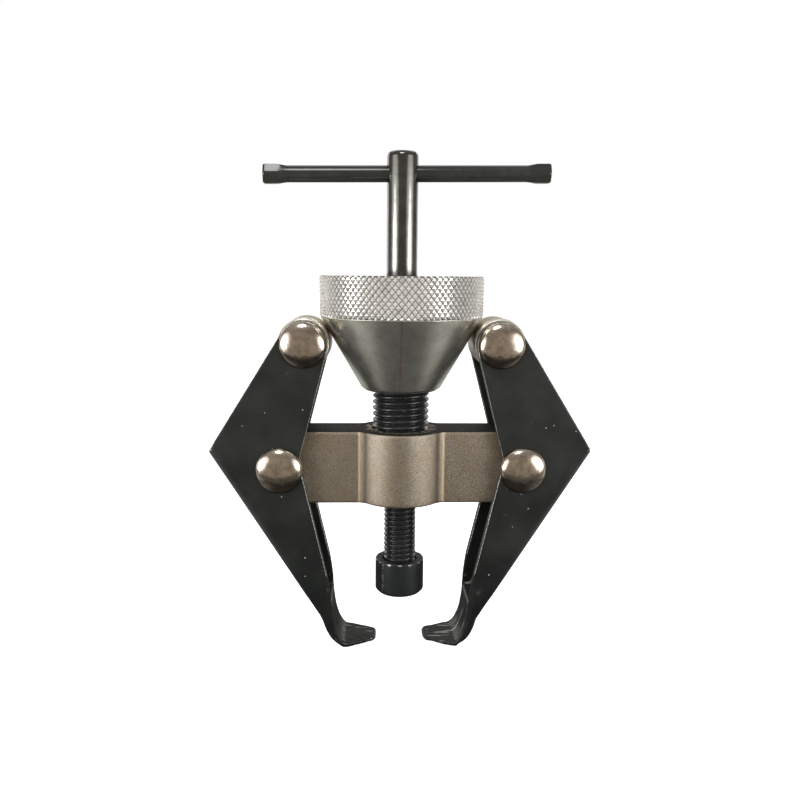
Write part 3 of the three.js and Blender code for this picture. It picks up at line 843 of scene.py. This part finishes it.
def make_world():
    """A warm, dim room that the metal reflects, and a plain white backdrop behind the tool."""
    world = bpy.data.worlds.new("studio")
    world.use_nodes = True
    t = Tree(world.node_tree)
    height = t.axes(t.add("ShaderNodeTexCoord").outputs["Generated"])[2]
    share = t.plus(t.times(height, 0.5), 0.5)
    room = t.add("ShaderNodeBackground")
    t.feed(room, "Color", t.ramp(share, *ROOM))
    backdrop = t.add("ShaderNodeBackground")
    t.feed(backdrop, "Color", (1.0, 1.0, 1.0))
    seen = t.add("ShaderNodeLightPath").outputs["Is Camera Ray"]
    output = t.add("ShaderNodeOutputWorld")
    t.link(t.mix_shaders(seen, room.outputs[0], backdrop.outputs[0]), output.inputs[0])
    bpy.context.scene.world = world


def make_floor():
    """A white floor. Metal reflects it dim round the tool, lighter beside it, and warm further in front."""
    floor = turned("floor", [(0, -0.3), (4000, -0.3)], 0, 96)
    m = Material("floor_white")
    m.finish((0.9, 0.9, 0.9), 0.9, 0.0)
    glow = m.add("ShaderNodeEmission")
    m.feed(glow, "Strength", 0.9)
    white = m.add("ShaderNodeAddShader")
    m.link(m.shader.outputs[0], white.inputs[0])
    m.link(glow.outputs[0], white.inputs[1])
    x, y, _ = m.axes(m.place)
    side = m.times(m.between(m.magnitude(x), 0.035, 0.075), m.between(y, -0.09, 0.0))
    front = m.between(m.times(y, -1.0), 0.105, 0.15)
    pool = m.add("ShaderNodeEmission")
    near = m.mix(side, (0.085, 0.083, 0.076), (0.55, 0.56, 0.52))
    m.feed(pool, "Color", m.mix(front, near, (0.31, 0.275, 0.225)))
    seen = m.add("ShaderNodeLightPath").outputs["Is Camera Ray"]
    m.link(m.mix_shaders(seen, pool.outputs[0], white.outputs[0]), m.output.inputs[0])
    floor.data.materials.append(m.material)


def softbox(name, azimuth, elevation, width, height, radiance, distance=0.6):
    """A soft oval light that faces the tool. Azimuth 0 is in front, and positive is to the right."""
    light = bpy.data.lights.new(name, "AREA")
    light.shape = "ELLIPSE"
    light.size, light.size_y = width, height
    light.energy = radiance * math.pi * width * height
    lamp = new_object(name, light)
    a, e = math.radians(azimuth), math.radians(elevation)
    away = Vector((math.sin(a) * math.cos(e), -math.cos(a) * math.cos(e), math.sin(e)))
    aim = Vector((0, 0, 0.065))
    lamp.location = aim + away * distance
    lamp.rotation_euler = away.to_track_quat("Z", "Y").to_euler()
    lamp.visible_camera = False


def make_lights():
    for side, azimuth, radiance in (("left", -60, 8.4), ("right", 55, 7.0)):
        softbox(f"{side}_softbox", azimuth, 1.5, 0.165, 0.135, radiance, 0.32)
        softbox(f"{side}_halo", azimuth, 6, 0.36, 0.26, 1.4, 0.36)
    softbox("left_rim", -145, 12, 0.40, 0.50, 1.2)
    softbox("right_rim", 145, 12, 0.40, 0.50, 0.8)
    softbox("top_front", -12, 57, 0.20, 0.22, 8.0)
    softbox("top_rear", 180, 52, 0.60, 0.34, 0.8)


def make_camera():
    """The camera stands level with the top of the nut, a little to the left, and looks down a little."""
    distance, yaw, pitch, roll = 191.5, math.radians(2.36), math.radians(9.03), math.radians(0.487)
    camera = new_object("camera", bpy.data.cameras.new("camera"))
    sensor, image_width, focal_length = 36, 800, 780
    camera.data.sensor_width = sensor
    camera.data.lens = focal_length / image_width * sensor
    camera.data.clip_start = 0.01
    camera.data.clip_end = 20
    camera.location = Vector((-distance * math.sin(yaw) - 0.2, -distance * math.cos(yaw), NUT_HIGH.z)) * MM
    turn = Matrix.Rotation(-yaw, 4, "Z") @ Matrix.Rotation(math.pi / 2 - pitch, 4, "X")
    camera.rotation_euler = (turn @ Matrix.Rotation(roll, 4, "Z")).to_euler()
    bpy.context.scene.camera = camera


make_floor()
make_world()
make_lights()
make_camera()
bpy.context.scene.view_settings.view_transform = "Standard"
